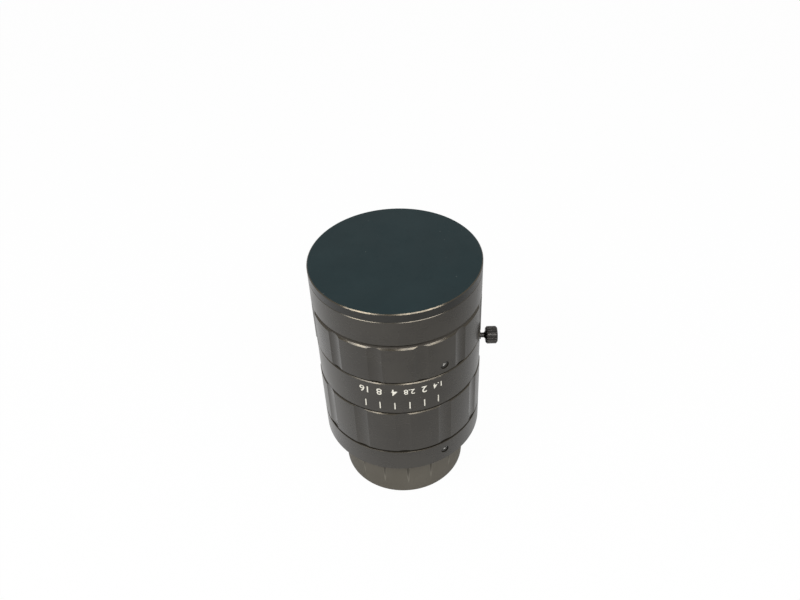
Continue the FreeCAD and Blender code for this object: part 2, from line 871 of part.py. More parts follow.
def make_rear_spacers():
    """The rings between the fourth element, the doublet, the seventh and the eighth element."""
    fourth, doublet, doublet_rear, seventh, eighth = rear_stack()
    inner = rear_bore_r - rear_spacer_land
    spacers = {}
    pairs = ((fourth, doublet), (doublet_rear, seventh), (seventh, eighth))
    for number, (above, below) in enumerate(pairs, start=1):
        contact = rear_bore_r if above[4] < 0 else inner
        high = above[2] + sag(above[4], contact) - seat_clear
        low = below[1] - sag(below[3], inner) + seat_clear
        spacers[f"rear_spacer_{number}"] = tube(inner, rear_bore_r, low, high)
    return spacers


def make_rear_retaining_ring():
    low = rear_retainer_z()
    inner = rear_bore_r - rear_spacer_land
    ring = tube(inner, rear_bore_r, low, low + rear_retainer_t)
    return ring.cut(spanner_slots(inner, rear_bore_r, low, low + spanner_slot_depth))


# The caps

def make_front_cap():
    """A shallow disc cap pushed over the neck, its rim on the barrel's shoulder."""
    bore = neck_r + running_clear
    chamfer = front_cap_chamfer
    return turned([
        (0, overall_h - front_cap_t),
        (bore, overall_h - front_cap_t),
        (bore, front_shoulder),
        (barrel_r, front_shoulder),
        (barrel_r, overall_h - chamfer),
        (barrel_r - chamfer, overall_h),
        (0, overall_h),
    ])


def make_rear_cap():
    """A moulded screw cap with narrow flutes that run out downwards, its rim against the flange face."""
    chamfer = rear_cap_chamfer
    cap = turned([
        (0, 0),
        (rear_cap_r - chamfer, 0),
        (rear_cap_r, chamfer),
        (rear_cap_r, rear_cap_h),
        (rear_cap_bore_r, rear_cap_h),
        (rear_cap_bore_r, rear_cap_floor_t),
        (0, rear_cap_floor_t),
    ])
    half = flute_w / 2
    cutter_r = (half ** 2 + flute_depth ** 2) / (2 * flute_depth)
    length = rear_cap_h - flute_start
    lean = math.degrees(math.atan(flute_depth / length))
    flute = Part.makeCylinder(cutter_r, 2 * length, vec(0, -rear_cap_r - cutter_r, flute_start))
    flute.rotate(vec(0, -rear_cap_r, flute_start), vec(1, 0, 0), -lean)
    return cap.cut(around(flute, flute_count, flute_azimuth))


def parts():
    nodes = {
        "rear_mount_body": make_rear_mount_body(),
        "main_barrel": make_main_barrel(),
        "mount_set_screws": grub_screws(main_barrel_r, barrel_r, mount_grub_z),
        "focus_retaining_ring": make_focus_retaining_ring(),
        "focus_stop_pin": make_focus_stop_pin(),
        "focus_ring": make_focus_ring(),
        "helicoid_sleeve": make_helicoid_sleeve(),
        "focus_ring_set_screws": grub_screws(sleeve_r, barrel_r, focus_grub_z),
        "focus_lock_screw": lock_screw(focus_neck_r, focus_lock_z, focus_lock_azimuth),
        "focus_lock_pad": lock_pad(focus_neck_r, focus_lock_z, focus_lock_azimuth),
        "iris_ring": make_iris_ring(),
        "iris_lock_screw": lock_screw(main_barrel_r, iris_lock_z, iris_lock_azimuth),
        "iris_lock_pad": lock_pad(main_barrel_r, iris_lock_z, iris_lock_azimuth),
        "front_barrel": make_front_barrel(),
        "front_retaining_ring": make_front_retaining_ring(),
        "front_lens_cell": make_front_lens_cell(),
        "guide_pins": make_guide_pins(),
        "front_element": make_front_element(),
        "front_spacer": make_front_spacer(),
        "second_element": make_second_element(),
        "middle_spacer": make_middle_spacer(),
        "third_element": make_third_element(),
        "iris_base_plate": make_iris_base_plate(),
        "iris_cam_ring": make_iris_cam_ring(),
        "iris_drive_pin": make_iris_drive_pin(),
        "rear_lens_cell": make_rear_lens_cell(),
        "rear_retaining_ring": make_rear_retaining_ring(),
        "front_cap": make_front_cap(),
        "rear_cap": make_rear_cap(),
    }
    nodes.update(make_rear_elements())
    nodes.update(make_rear_spacers())
    for number in range(blade_count):
        nodes[f"iris_blade_{number + 1}"] = make_iris_blade(number)
    return nodes


def main():
    os.makedirs("parts", exist_ok=True)
    for name, shape in parts().items():
        solids = Part.makeCompound(shape) if isinstance(shape, list) else shape
        solids.exportStep(f"parts/{name}.step")
        print(f"{name}: {len(solids.Solids)} solid, {solids.Volume:.1f} mm3, valid {solids.isValid()}")


main()
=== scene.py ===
import json
import math

import bpy
import numpy as np
from mathutils import Matrix, Vector


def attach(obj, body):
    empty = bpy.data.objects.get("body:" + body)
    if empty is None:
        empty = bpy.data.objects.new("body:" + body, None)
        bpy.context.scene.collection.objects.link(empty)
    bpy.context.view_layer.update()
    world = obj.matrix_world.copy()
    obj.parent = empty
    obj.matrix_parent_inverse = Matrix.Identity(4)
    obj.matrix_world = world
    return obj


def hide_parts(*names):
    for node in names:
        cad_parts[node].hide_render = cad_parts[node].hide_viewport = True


# A machine vision lens standing on its rear cap with the front cap on.
# The CAD solids stay as they are and get their finishes here.
# Three screw threads, the aperture scale, the light and the camera are added.
# An azimuth of 0 faces -Y and grows towards +X, as in the solids.

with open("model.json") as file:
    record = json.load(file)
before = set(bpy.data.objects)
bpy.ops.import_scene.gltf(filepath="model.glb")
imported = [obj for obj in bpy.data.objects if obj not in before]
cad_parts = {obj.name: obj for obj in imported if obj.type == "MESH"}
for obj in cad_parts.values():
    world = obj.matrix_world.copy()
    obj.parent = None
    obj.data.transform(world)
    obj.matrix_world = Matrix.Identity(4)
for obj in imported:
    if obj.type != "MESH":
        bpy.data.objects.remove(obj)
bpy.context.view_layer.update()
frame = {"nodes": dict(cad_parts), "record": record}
MM = 0.001

# Places on the solids, in millimetres: the band with the scale, the depth below which a grub screw
# shows only its socket, which is painted pale as light, the radius inside which no edge is handled,
# and the land in the focusing gap, which is painted paler as light
SCALE_R = 19.35
SOCKET_R = 19.1
WEAR_FROM_R = 18.0
LAND_HEIGHT = 54.6
LAND_WITHIN = 0.02
# The rear cap's fluted wall, and how far in from it the flutes' painted highlight and painted shade
# reach
REAR_CAP_R = 15.4
FLUTE_REACH = 0.8

# Threads, in millimetres: a negative depth goes towards the axis
MOUNT_PITCH = 25.4 / 32
MOUNT_DEPTH = -0.45
MOUNT_WALL = (10.9, 14.0)
FILTER_PITCH = 0.5
FILTER_DEPTH = 0.27
FILTER_WALL = (59.65, 62.75)
CAP_WALL = (1.6, 14.7)
CAP_CUT = (9.5, 14.1)
THREAD_STEPS = 12
THREAD_SHARP = math.radians(25.0)

# The aperture scale: the ring's full turn, the azimuth of the first number at full opening,
# and the paint's sizes in millimetres
IRIS_TURN = 50.0
FIRST_AZIMUTH = 25.0
APERTURES = ("1.4", "2", "2.8", "4", "8", "16")
NUMBER_HEIGHT = 41.55
NUMBER_SIZE = 2.7
LONG_NUMBER_SIZE = 2.1
NUMBER_SWELL = 0.02
TICK_HEIGHT = 37.1
TICK_WIDTH = 0.26
TICK_LENGTH = 2.1
TICK_COLUMNS = 7
PAINT_DEPTH = 0.03

# How metallic a worn bevel is, and tones that belong to one place only: painted light on the land
# in the focusing gap, a painted highlight and painted shade in the rear cap's flutes, and dust
EDGE_METAL = 0.85
GAP_LAND_PAINTED_LIGHT = (0.110, 0.100, 0.086)
FLUTE_RIM_PAINTED_HIGHLIGHT = (0.150, 0.138, 0.114)
FLUTE_BOTTOM_PAINTED_SHADE = (0.062, 0.056, 0.045)
DUST_ON_METAL = (0.35, 0.34, 0.32)
DUST_ON_PLASTIC = (0.4, 0.4, 0.38)

# Light: what the surroundings give, the share of the floor that looks white to the camera,
# half the floor's width, and the lamps' distance and aim, in metres
WORLD_LIGHT = 0.4
FLOOR_GLOW = 0.97
FLOOR_HALF = 1.6
LAMP_DISTANCE = 0.6
LAMP_AIM = Vector((0, 0, 0.04))


# Small helpers for shader nodes

class Sheet:
    """One node tree being filled in: a material's or a node group's."""

    def __init__(self, tree):
        self.tree = tree

    def node(self, kind, **settings):
        made = self.tree.nodes.new(kind)
        for name, value in settings.items():
            setattr(made, name, value)
        return made

    def put(self, value, socket):
        """Joins an output to a socket, or sets the socket to a plain value."""
        if isinstance(value, bpy.types.NodeSocket):
            self.tree.links.new(value, socket)
        else:
            socket.default_value = value

    def math(self, operation, a, b=0.0, c=0.0, clamp=False):
        made = self.node("ShaderNodeMath", operation=operation, use_clamp=clamp)
        for value, socket in zip((a, b, c), made.inputs):
            self.put(value, socket)
        return made.outputs[0]

    def blend(self, factor, a, b):
        """a where factor is 0 and b where it is 1, for colours."""
        made = self.node("ShaderNodeMix", data_type="RGBA")
        self.put(factor, made.inputs["Factor"])
        self.put(a, made.inputs[6])
        self.put(b, made.inputs[7])
        return made.outputs[2]

    def ramp(self, value, low, high, to_low=0.0, to_high=1.0):
        made = self.node("ShaderNodeMapRange", interpolation_type="SMOOTHSTEP")
        for socket, number in zip(made.inputs, (value, low, high, to_low, to_high)):
            self.put(number, socket)
        return made.outputs[0]

    def noise(self, vector, scale, detail=3.0, roughness=0.55):
        made = self.node("ShaderNodeTexNoise")
        self.put(vector, made.inputs["Vector"])
        made.inputs["Scale"].default_value = scale
        made.inputs["Detail"].default_value = detail
        made.inputs["Roughness"].default_value = roughness
        return made.outputs["Fac"]

    def place(self):
        """Object coordinates, as one vector."""
        return self.node("ShaderNodeTexCoord").outputs["Object"]

    def split(self, vector):
        """The x, y and z of a vector."""
        made = self.node("ShaderNodeSeparateXYZ")
        self.put(vector, made.inputs[0])
        return tuple(made.outputs)

    def height(self):
        """The distance along the lens's axis."""
        return self.split(self.place())[2]

    def radius(self):
        """The distance from the lens's axis."""
        x, y, _ = self.split(self.place())
        squares = self.math("ADD", self.math("MULTIPLY", x, x), self.math("MULTIPLY", y, y))
        return self.math("SQRT", squares)

    def slope(self):
        """How far the surface faces up or down the axis: 0 on the walls and 1 on the end faces."""
        normal = self.node("ShaderNodeNewGeometry").outputs["True Normal"]
        return self.math("ABSOLUTE", self.split(normal)[2])


def new_group(name, inputs, outputs):
    """An empty shader group. Each input is a name and its default, and each output is a name."""
    tree = bpy.data.node_groups.new(name, "ShaderNodeTree")
    for label, default in inputs:
        socket = tree.interface.new_socket(name=label, in_out="INPUT", socket_type="NodeSocketFloat")
        socket.default_value = default
    for label in outputs:
        tree.interface.new_socket(name=label, in_out="OUTPUT", socket_type="NodeSocketFloat")
    sheet = Sheet(tree)
    return tree, sheet, sheet.node("NodeGroupInput"), sheet.node("NodeGroupOutput")


def turned_lines_group():
    """Fine tool marks of a lathe: rings along the axis on the walls, and circles on the end faces."""
    tree, sheet, given, out = new_group(
        "turned lines", [("Lines per metre", 9000.0), ("Waviness", 0.00015)], ["Height", "Tone"])
    on_end = sheet.ramp(sheet.slope(), 0.6, 0.9)
    on_wall = sheet.math("SUBTRACT", 1.0, on_end)
    along = sheet.math("ADD", sheet.math("MULTIPLY", sheet.height(), on_wall),
                       sheet.math("MULTIPLY", sheet.radius(), on_end))
    drift = sheet.math("MULTIPLY", sheet.noise(sheet.place(), 60.0, 1.0), given.outputs["Waviness"])
    along = sheet.math("ADD", along, drift)
    spot = sheet.node("ShaderNodeTexNoise", noise_dimensions="1D")
    sheet.put(sheet.math("MULTIPLY", along, given.outputs["Lines per metre"]), spot.inputs["W"])
    spot.inputs["Scale"].default_value = 1.0
    spot.inputs["Detail"].default_value = 2.0
    sheet.put(spot.outputs["Fac"], out.inputs["Height"])
    sheet.put(sheet.ramp(spot.outputs["Fac"], 0.35, 0.65), out.inputs["Tone"])
    return tree


def handling_group():
    """What use leaves on a finish: cloudy smears, fine scuffs and a few specks of dust."""
    tree, sheet, given, out = new_group(
        "handling", [("Dust", 0.5)], ["Smear", "Scuff", "Speck"])
    vector = sheet.place()
    sheet.put(sheet.ramp(sheet.noise(vector, 95.0, 4.0), 0.35, 0.7), out.inputs["Smear"])
    stretch = sheet.node("ShaderNodeMapping")
    sheet.put(vector, stretch.inputs["Vector"])
    stretch.inputs["Scale"].default_value = (1.0, 1.0, 7.0)
    stretch.inputs["Rotation"].default_value = (0.5, 0.3, 0.2)
    scuff = sheet.noise(stretch.outputs[0], 600.0, 5.0, 0.7)
    sheet.put(sheet.ramp(scuff, 0.56, 0.72), out.inputs["Scuff"])
    dots = sheet.node("ShaderNodeTexVoronoi", feature="F1")
    sheet.put(vector, dots.inputs["Vector"])
    dots.inputs["Scale"].default_value = 700.0
    near = sheet.ramp(dots.outputs["Distance"], 0.05, 0.11, 1.0, 0.0)
    rare = sheet.ramp(sheet.noise(vector, 310.0, 1.0), 0.6, 0.66)
    speck = sheet.math("MULTIPLY", near, rare)
    sheet.put(sheet.math("MULTIPLY", speck, given.outputs["Dust"]), out.inputs["Speck"])
    return tree


def edge_wear_group():
    """Bevels, where the dyed layer is thinner: faces between wall and end, broken up by patches."""
    tree, sheet, given, out = new_group("edge wear", [("Patchiness", 0.5)], ["Wear"])
    slope = sheet.slope()
    slanting = sheet.math("MULTIPLY", sheet.ramp(slope, 0.2, 0.45),
                          sheet.ramp(slope, 0.85, 0.97, 1.0, 0.0))
    patch = sheet.ramp(sheet.noise(sheet.place(), 420.0, 3.0), 0.3, 0.65)
    patchy = sheet.math("MULTIPLY", given.outputs["Patchiness"], sheet.math("SUBTRACT", 1.0, patch))
    sheet.put(sheet.math("MULTIPLY", slanting, sheet.math("SUBTRACT", 1.0, patchy)), out.inputs["Wear"])
    return tree


def moulded_grain_group():
    """The fine sand-like grain of moulded plastic."""
    tree, sheet, given, out = new_group("moulded grain", [("Size", 0.0002)], ["Height", "Tone"])
    vector = sheet.place()
    fine = sheet.node("ShaderNodeTexNoise")
    sheet.put(vector, fine.inputs["Vector"])
    sheet.put(sheet.math("DIVIDE", 1.0, given.outputs["Size"]), fine.inputs["Scale"])
    fine.inputs["Detail"].default_value = 3.0
    fine.inputs["Roughness"].default_value = 0.6
    sheet.put(fine.outputs["Fac"], out.inputs["Height"])
    sheet.put(sheet.noise(vector, 150.0, 2.0), out.inputs["Tone"])
    return tree


GROUPS = {
    "turned": turned_lines_group(),
    "handling": handling_group(),
    "wear": edge_wear_group(),
    "grain": moulded_grain_group(),
}


class Finish(Sheet):
    """A material with one Principled shader, filled in from shared groups."""

    def __init__(self, name, **constants):
        self.material = bpy.data.materials.new(name)
        self.material.use_nodes = True
        super().__init__(self.material.node_tree)
        self.shader = self.tree.nodes["Principled BSDF"]
        for label, value in constants.items():
            self.shader.inputs[label.replace("_", " ")].default_value = value

    def effect(self, group, **values):
        made = self.node("ShaderNodeGroup")
        made.node_tree = GROUPS[group]
        for label, value in values.items():
            made.inputs[label.replace("_", " ")].default_value = value
        return made.outputs

    def colour(self, value):
        self.put(value, self.shader.inputs["Base Color"])

    def roughness(self, value):
        self.put(value, self.shader.inputs["Roughness"])

    def metallic(self, value):
        self.put(value, self.shader.inputs["Metallic"])

    def bumps(self, *layers):
        """Heights laid over each other, each as (height output, depth in metres)."""
        normal = None
        for height, depth in layers:
            bump = self.node("ShaderNodeBump")
            bump.inputs["Strength"].default_value = 1.0
            bump.inputs["Distance"].default_value = depth
            self.put(height, bump.inputs["Height"])
            if normal is not None:
                self.put(normal, bump.inputs["Normal"])
            normal = bump.outputs["Normal"]
        self.put(normal, self.shader.inputs["Normal"])


def rgb(red, green, blue):
    return (red, green, blue, 1.0)


def anodised(name, dark, pale, worn, smooth=0.24, lines=9000.0, line_depth=6e-7):
    """Black anodised aluminium off the lathe: cloudy tone, tool marks, thinner dye on the outer bevels.

    The focus ring's land, which shows only in the focusing gap, gets a paler tone as painted light in
    the gap's shade.
    """
    finish = Finish(name, IOR=1.45)
    turned = finish.effect("turned", Lines_per_metre=lines)
    handling = finish.effect("handling", Dust=0.35)
    handled = finish.math("GREATER_THAN", finish.radius(), WEAR_FROM_R * MM)
    edge = finish.math("MULTIPLY", finish.effect("wear", Patchiness=0.5)["Wear"], handled)
    smear = finish.math("MULTIPLY", handling["Smear"], 0.6)
    tone = finish.math("MULTIPLY_ADD", turned["Tone"], 0.15, smear, True)
    body = finish.blend(tone, rgb(*dark), rgb(*pale))
    # Painted light: the land in the focusing gap is made paler where the gap's shade falls
    lit_land = finish.math("COMPARE", finish.height(), LAND_HEIGHT * MM, LAND_WITHIN * MM)
    body = finish.blend(lit_land, body, rgb(*GAP_LAND_PAINTED_LIGHT))
    body = finish.blend(finish.math("MULTIPLY", edge, 0.8), body, rgb(*worn))
    speck = finish.math("MULTIPLY", handling["Speck"], 0.5)
    finish.colour(finish.blend(speck, body, rgb(*DUST_ON_METAL)))
    rough = finish.math("MULTIPLY_ADD", handling["Smear"], 0.07, smooth)
    rough = finish.math("MULTIPLY_ADD", handling["Scuff"], 0.06, rough)
    finish.roughness(finish.math("MULTIPLY_ADD", edge, -0.1, rough, True))
    finish.metallic(finish.math("MULTIPLY", edge, EDGE_METAL))
    finish.bumps((turned["Height"], line_depth), (handling["Scuff"], 4e-7))
    return finish.material


def moulded(name, dark, pale, smooth, grain_depth, matt_top=None, level=0.5, bright_edge=None,
            flutes=None):
    """Moulded plastic: a fine grain and cloudy tone.

    Where given, the end face is matt and of another tone (matt_top holds its dark tone, its pale tone
    and how much rougher it is), the bevels are bright, or the flutes in a wall of that radius
    get a painted highlight at their rims and painted shade at the bottom.
    """
    finish = Finish(name, IOR=1.47, Specular_IOR_Level=level)
    grain = finish.effect("grain", Size=0.00022)
    handling = finish.effect("handling", Dust=0.6)
    cloud = finish.math("MULTIPLY", grain["Tone"], 0.4)
    tone = finish.math("MULTIPLY_ADD", handling["Smear"], 0.6, cloud, True)
    body = finish.blend(tone, rgb(*dark), rgb(*pale))
    rough = finish.math("MULTIPLY_ADD", handling["Smear"], 0.1, smooth)
    if matt_top:
        on_end = finish.ramp(finish.slope(), 0.9, 0.98)
        top = finish.blend(grain["Tone"], rgb(*matt_top[0]), rgb(*matt_top[1]))
        body = finish.blend(on_end, body, top)
        rough = finish.math("MULTIPLY_ADD", on_end, matt_top[2], rough, True)
    # Painted highlight along the flutes' rims and painted shade at their bottoms
    if flutes:
        radius = finish.radius()
        depth = finish.math("SUBTRACT", flutes * MM, radius)
        outside = finish.math("GREATER_THAN", radius, (flutes - FLUTE_REACH) * MM)
        rim_highlight = finish.math("MULTIPLY", finish.ramp(depth, 0.005 * MM, 0.05 * MM),
                             finish.ramp(depth, 0.06 * MM, 0.13 * MM, 1.0, 0.0))
        bottom_shade = finish.ramp(depth, 0.08 * MM, 0.2 * MM)
        body = finish.blend(finish.math("MULTIPLY", rim_highlight, outside), body, rgb(*FLUTE_RIM_PAINTED_HIGHLIGHT))
        body = finish.blend(finish.math("MULTIPLY", bottom_shade, outside), body, rgb(*FLUTE_BOTTOM_PAINTED_SHADE))
    if bright_edge:
        edge = finish.effect("wear", Patchiness=0.4)["Wear"]
        body = finish.blend(edge, body, rgb(*bright_edge))
        rough = finish.math("MULTIPLY_ADD", edge, -0.1, rough, True)
        finish.metallic(finish.math("MULTIPLY", edge, EDGE_METAL))
    speck = finish.math("MULTIPLY", handling["Speck"], 0.35)
    finish.colour(finish.blend(speck, body, rgb(*DUST_ON_PLASTIC)))
    finish.roughness(finish.math("MULTIPLY_ADD", handling["Scuff"], 0.07, rough, True))
    finish.bumps((grain["Height"], grain_depth), (handling["Scuff"], 5e-7))
    return finish.material


def metal(name, dark, pale, smooth, depth=8e-7, socket=None):
    """Bare or blackened metal with tool marks and cloudy tarnish.

    Where given, socket holds the dark and pale tones painted into the screw's socket: a pale, dull tone
    that stands in for light, so the socket reads bright inside its own shade.
    """
    finish = Finish(name, Metallic=1.0)
    turned = finish.effect("turned", Lines_per_metre=12000.0)
    handling = finish.effect("handling", Dust=0.2)
    marks = finish.math("MULTIPLY", turned["Tone"], 0.3)
    tone = finish.math("MULTIPLY_ADD", handling["Smear"], 0.7, marks, True)
    body = finish.blend(tone, rgb(*dark), rgb(*pale))
    # Painted light: the socket is pale and dull, so it reads bright inside its shade
    if socket:
        inside = finish.math("LESS_THAN", finish.radius(), SOCKET_R * MM)
        socket_painted_light = finish.blend(tone, rgb(*socket[0]), rgb(*socket[1]))
        body = finish.blend(inside, body, socket_painted_light)
        finish.metallic(finish.math("MULTIPLY_ADD", inside, -0.85, 1.0))
    finish.colour(body)
    finish.roughness(finish.math("MULTIPLY_ADD", handling["Smear"], 0.12, smooth, True))
    finish.bumps((turned["Height"], depth), (handling["Scuff"], 4e-7))
    return finish.material


def coated_glass():
    """Polished glass with a thin coating that tints what it mirrors, and faint smears."""
    finish = Finish("coated glass", IOR=1.6, Transmission_Weight=1.0,
                    Thin_Film_Thickness=420.0, Thin_Film_IOR=1.38)
    handling = finish.effect("handling", Dust=0.5)
    finish.colour(finish.blend(handling["Smear"], rgb(0.93, 0.97, 0.95), rgb(0.97, 0.98, 0.98)))
    finish.roughness(finish.math("MULTIPLY", handling["Speck"], 0.25))
    finish.bumps((handling["Smear"], 2e-8))
    return finish.material


def white_paint():
    """White paint filled into the marks, a little worn and grey in places."""
    finish = Finish("white marking paint", IOR=1.45)
    handling = finish.effect("handling", Dust=0.6)
    grain = finish.effect("grain", Size=0.00012)
    finish.colour(finish.blend(handling["Smear"], rgb(0.70, 0.67, 0.58), rgb(0.86, 0.84, 0.76)))
    finish.roughness(finish.math("MULTIPLY_ADD", handling["Smear"], 0.15, 0.42))
    finish.bumps((grain["Height"], 4e-6))
    return finish.material


# Finishes, by the material slot in the record. Their tones run from dark to pale, then to worn.

FINISHES = {
    "barrel_black": anodised("black anodised barrel", (0.025, 0.0215, 0.0165),
                             (0.039, 0.0345, 0.0270), (0.088, 0.077, 0.059)),
    "inner_black": anodised("matt black inner parts", (0.008, 0.008, 0.008),
                            (0.016, 0.016, 0.016), (0.05, 0.05, 0.05),
                            smooth=0.5, lines=5000.0, line_depth=4e-6),
    "brass": metal("turned brass", (0.50, 0.34, 0.13), (0.72, 0.53, 0.25), 0.28),
    "screw_black": metal("blackened screw steel", (0.035, 0.034, 0.033),
                         (0.085, 0.08, 0.075), 0.3),
    "steel": metal("ground steel", (0.42, 0.42, 0.43), (0.62, 0.62, 0.63), 0.22),
    "pad_plastic": moulded("nylon pad", (0.62, 0.60, 0.52), (0.74, 0.72, 0.64), 0.45, 3e-6),
    "blade_steel": metal("blued iris leaf", (0.02, 0.021, 0.025), (0.05, 0.052, 0.06), 0.42,
                         depth=4e-7),
    "lens_glass": coated_glass(),
    "front_cap_plastic": moulded(
        "front cap plastic", (0.014, 0.0138, 0.012), (0.024, 0.0235, 0.021), 0.22, 1.5e-6,
        matt_top=((0.0068, 0.0175, 0.0198), (0.0102, 0.0245, 0.0276), 0.33),
        level=0.3, bright_edge=(0.095, 0.081, 0.060)),
    # The rear cap's flutes carry a painted highlight at their rims and painted shade at their bottoms
    "rear_cap_plastic": moulded(
        "rear cap plastic", (0.088, 0.079, 0.062), (0.112, 0.102, 0.083), 0.6, 4e-6,
        level=0.25, flutes=REAR_CAP_R),
}
# The grub screws: blackened steel, with a pale socket painted as light inside its shade
grub_steel = metal("blackened grub screw", (0.05, 0.049, 0.047), (0.11, 0.107, 0.10), 0.26,
                   socket=((0.70, 0.69, 0.66), (0.88, 0.87, 0.84)))
slot_of = {part["node"]: part["material_slot"] for part in frame["record"]["subparts"]}
for name, node in frame["nodes"].items():
    node.data.materials.clear()
    grub = name.endswith("_set_screws")
    node.data.materials.append(grub_steel if grub else FINISHES[slot_of[name]])
paint = white_paint()


# Threads cut into plain walls, and marks painted on the scale band

def add_piece(name, points, faces, material, body):
    """A mesh from an array of points and a list of faces, riding on a body."""
    mesh = bpy.data.meshes.new(name)
    mesh.from_pydata(points.tolist(), [], faces)
    mesh.update()
    mesh.materials.append(material)
    piece = bpy.data.objects.new(name, mesh)
    bpy.context.scene.collection.objects.link(piece)
    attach(piece, body)
    return piece


def merged(node):
    """Points and triangles of a CAD node, with the points that coincide made one."""
    mesh = frame["nodes"][node].data
    points = np.zeros(len(mesh.vertices) * 3, np.float32)
    mesh.vertices.foreach_get("co", points)
    mesh.calc_loop_triangles()
    faces = np.zeros(len(mesh.loop_triangles) * 3, np.int32)
    mesh.loop_triangles.foreach_get("vertices", faces)
    points = np.round(points.reshape(-1, 3).astype(float), 7)
    points, place = np.unique(points, axis=0, return_inverse=True)
    faces = place.reshape(-1)[faces].reshape(-1, 3)
    apart = (faces != np.roll(faces, 1, axis=1)).all(1)
    return points, faces[apart]


def threaded(node, body, radius, wall, cut, pitch, depth, facing_in):
    """A copy of a CAD node with its plain wall exchanged for a real right-hand thread.

    The wall's radius changes by depth times share times wave. The wave is a triangle between 0 and 1
    of height / pitch - azimuth / full turn, and share rises from 0 to 1 over half a pitch at each end
    of the cut. All lengths are in millimetres, and a negative depth goes towards the axis.
    """
    points, faces = merged(node)
    near = 0.02 * MM
    low, high = wall[0] * MM, wall[1] * MM
    height = points[:, 2]
    on_wall = np.abs(np.hypot(points[:, 0], points[:, 1]) - radius * MM) < near
    on_wall &= (height > low - near) & (height < high + near)
    plain = on_wall[faces].all(1) & (np.ptp(height[faces], axis=1) > near)
    used = np.unique(faces[plain])
    azimuth = np.arctan2(points[:, 1], points[:, 0])
    above = height[used] >= (low + high) / 2
    lower, upper = [part[np.argsort(azimuth[part])] for part in (used[~above], used[above])]
    steps = int(round((wall[1] - wall[0]) / (pitch / THREAD_STEPS)))
    rows = np.linspace(wall[0], wall[1], steps + 1)[1:-1, None]
    turn = azimuth[lower][None, :]
    share = np.clip(np.minimum(rows - cut[0], cut[1] - rows) / (pitch / 2), 0.0, 1.0)
    wave = np.abs(((rows / pitch - turn / (2 * math.pi)) % 1.0) * 2.0 - 1.0)
    out = radius + depth * share * wave
    grid = np.stack([out * np.cos(turn), out * np.sin(turn), np.broadcast_to(rows, out.shape)], -1) * MM
    ring = np.vstack([lower, len(points) + np.arange(out.size).reshape(out.shape), upper])
    beside = np.roll(ring, -1, axis=1)
    quads = np.stack([ring[:-1], beside[:-1], beside[1:], ring[1:]], -1).reshape(-1, 4)
    if facing_in:
        quads = quads[:, ::-1]
    everything = np.vstack([points, grid.reshape(-1, 3)])
    rest = faces[~plain]
    kept, index = np.unique(np.concatenate([rest.ravel(), quads.ravel()]), return_inverse=True)
    index = index.reshape(-1)
    triangles = index[:rest.size].reshape(-1, 3)
    quads = index[rest.size:].reshape(-1, 4)
    piece = add_piece(node + "_threaded", everything[kept], triangles.tolist() + quads.tolist(),
                      FINISHES[slot_of[node]], body)
    piece.data.shade_smooth()
    piece.data.set_sharp_from_angle(angle=THREAD_SHARP)
    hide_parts(node)


def wrap(flat, radius, azimuth, height, upside_down=True):
    """Flat points in millimetres laid round the barrel, in metres.

    The flat x becomes an arc length round the axis and y a height, both turned half round if upside
    down, and the flat z is added to the radius.
    """
    way = -1.0 if upside_down else 1.0
    angle = np.radians(azimuth) + way * flat[:, 0] / radius
    out = radius + flat[:, 2]
    return np.column_stack([out * np.sin(angle), -out * np.cos(angle), height + way * flat[:, 1]]) * MM


def lettered(name, number, size, radius, azimuth, height, body):
    """A number as a thin raised mesh, wrapped round its place on the barrel."""
    curve = bpy.data.curves.new(name, "FONT")
    curve.body = number
    curve.size = size
    curve.align_x = "CENTER"
    curve.align_y = "CENTER"
    curve.extrude = PAINT_DEPTH
    curve.resolution_u = 4
    curve.offset = NUMBER_SWELL
    writer = bpy.data.objects.new(name + "_writer", curve)
    bpy.context.scene.collection.objects.link(writer)
    bpy.context.view_layer.update()
    shape = bpy.data.meshes.new_from_object(writer)
    flat = np.zeros(len(shape.vertices) * 3, np.float32)
    shape.vertices.foreach_get("co", flat)
    flat = flat.reshape(-1, 3)
    faces = [tuple(face.vertices) for face in shape.polygons]
    bpy.data.objects.remove(writer)
    bpy.data.curves.remove(curve)
    bpy.data.meshes.remove(shape)
    add_piece(name, wrap(flat, radius, azimuth, height), faces, paint, body)


def stroke(name, width, length, radius, azimuth, height, body):
    """A painted line along the axis: a closed slab, in columns across, wrapped round the barrel."""
    across = np.linspace(-width / 2, width / 2, TICK_COLUMNS)
    near = np.stack([across, np.full(TICK_COLUMNS, -length / 2)], 1)
    far = np.stack([across[::-1], np.full(TICK_COLUMNS, length / 2)], 1)
    loop = np.concatenate([near, far])
    count = len(loop)
    flat = np.concatenate([np.column_stack([loop, np.full(count, level)])
                           for level in (-PAINT_DEPTH, PAINT_DEPTH)])
    step = np.arange(count)
    sides = np.stack([step, (step + 1) % count, (step + 1) % count + count, step + count], 1).tolist()
    pairs = np.arange(TICK_COLUMNS - 1)
    under = np.stack([pairs, count - 1 - pairs, count - 2 - pairs, pairs + 1], 1)
    over = under[:, ::-1] + count
    add_piece(name, wrap(flat, radius, azimuth, height, False),
              sides + under.tolist() + over.tolist(), paint, body)


threaded("rear_mount_body", "fixed_barrel", radius=12.7, wall=MOUNT_WALL, cut=MOUNT_WALL,
         pitch=MOUNT_PITCH, depth=MOUNT_DEPTH, facing_in=False)
threaded("front_barrel", "lens_unit", radius=17.48, wall=FILTER_WALL, cut=FILTER_WALL,
         pitch=FILTER_PITCH, depth=FILTER_DEPTH, facing_in=True)
threaded("rear_cap", "rear_cap", radius=13.3, wall=CAP_WALL, cut=CAP_CUT,
         pitch=MOUNT_PITCH, depth=MOUNT_DEPTH, facing_in=True)

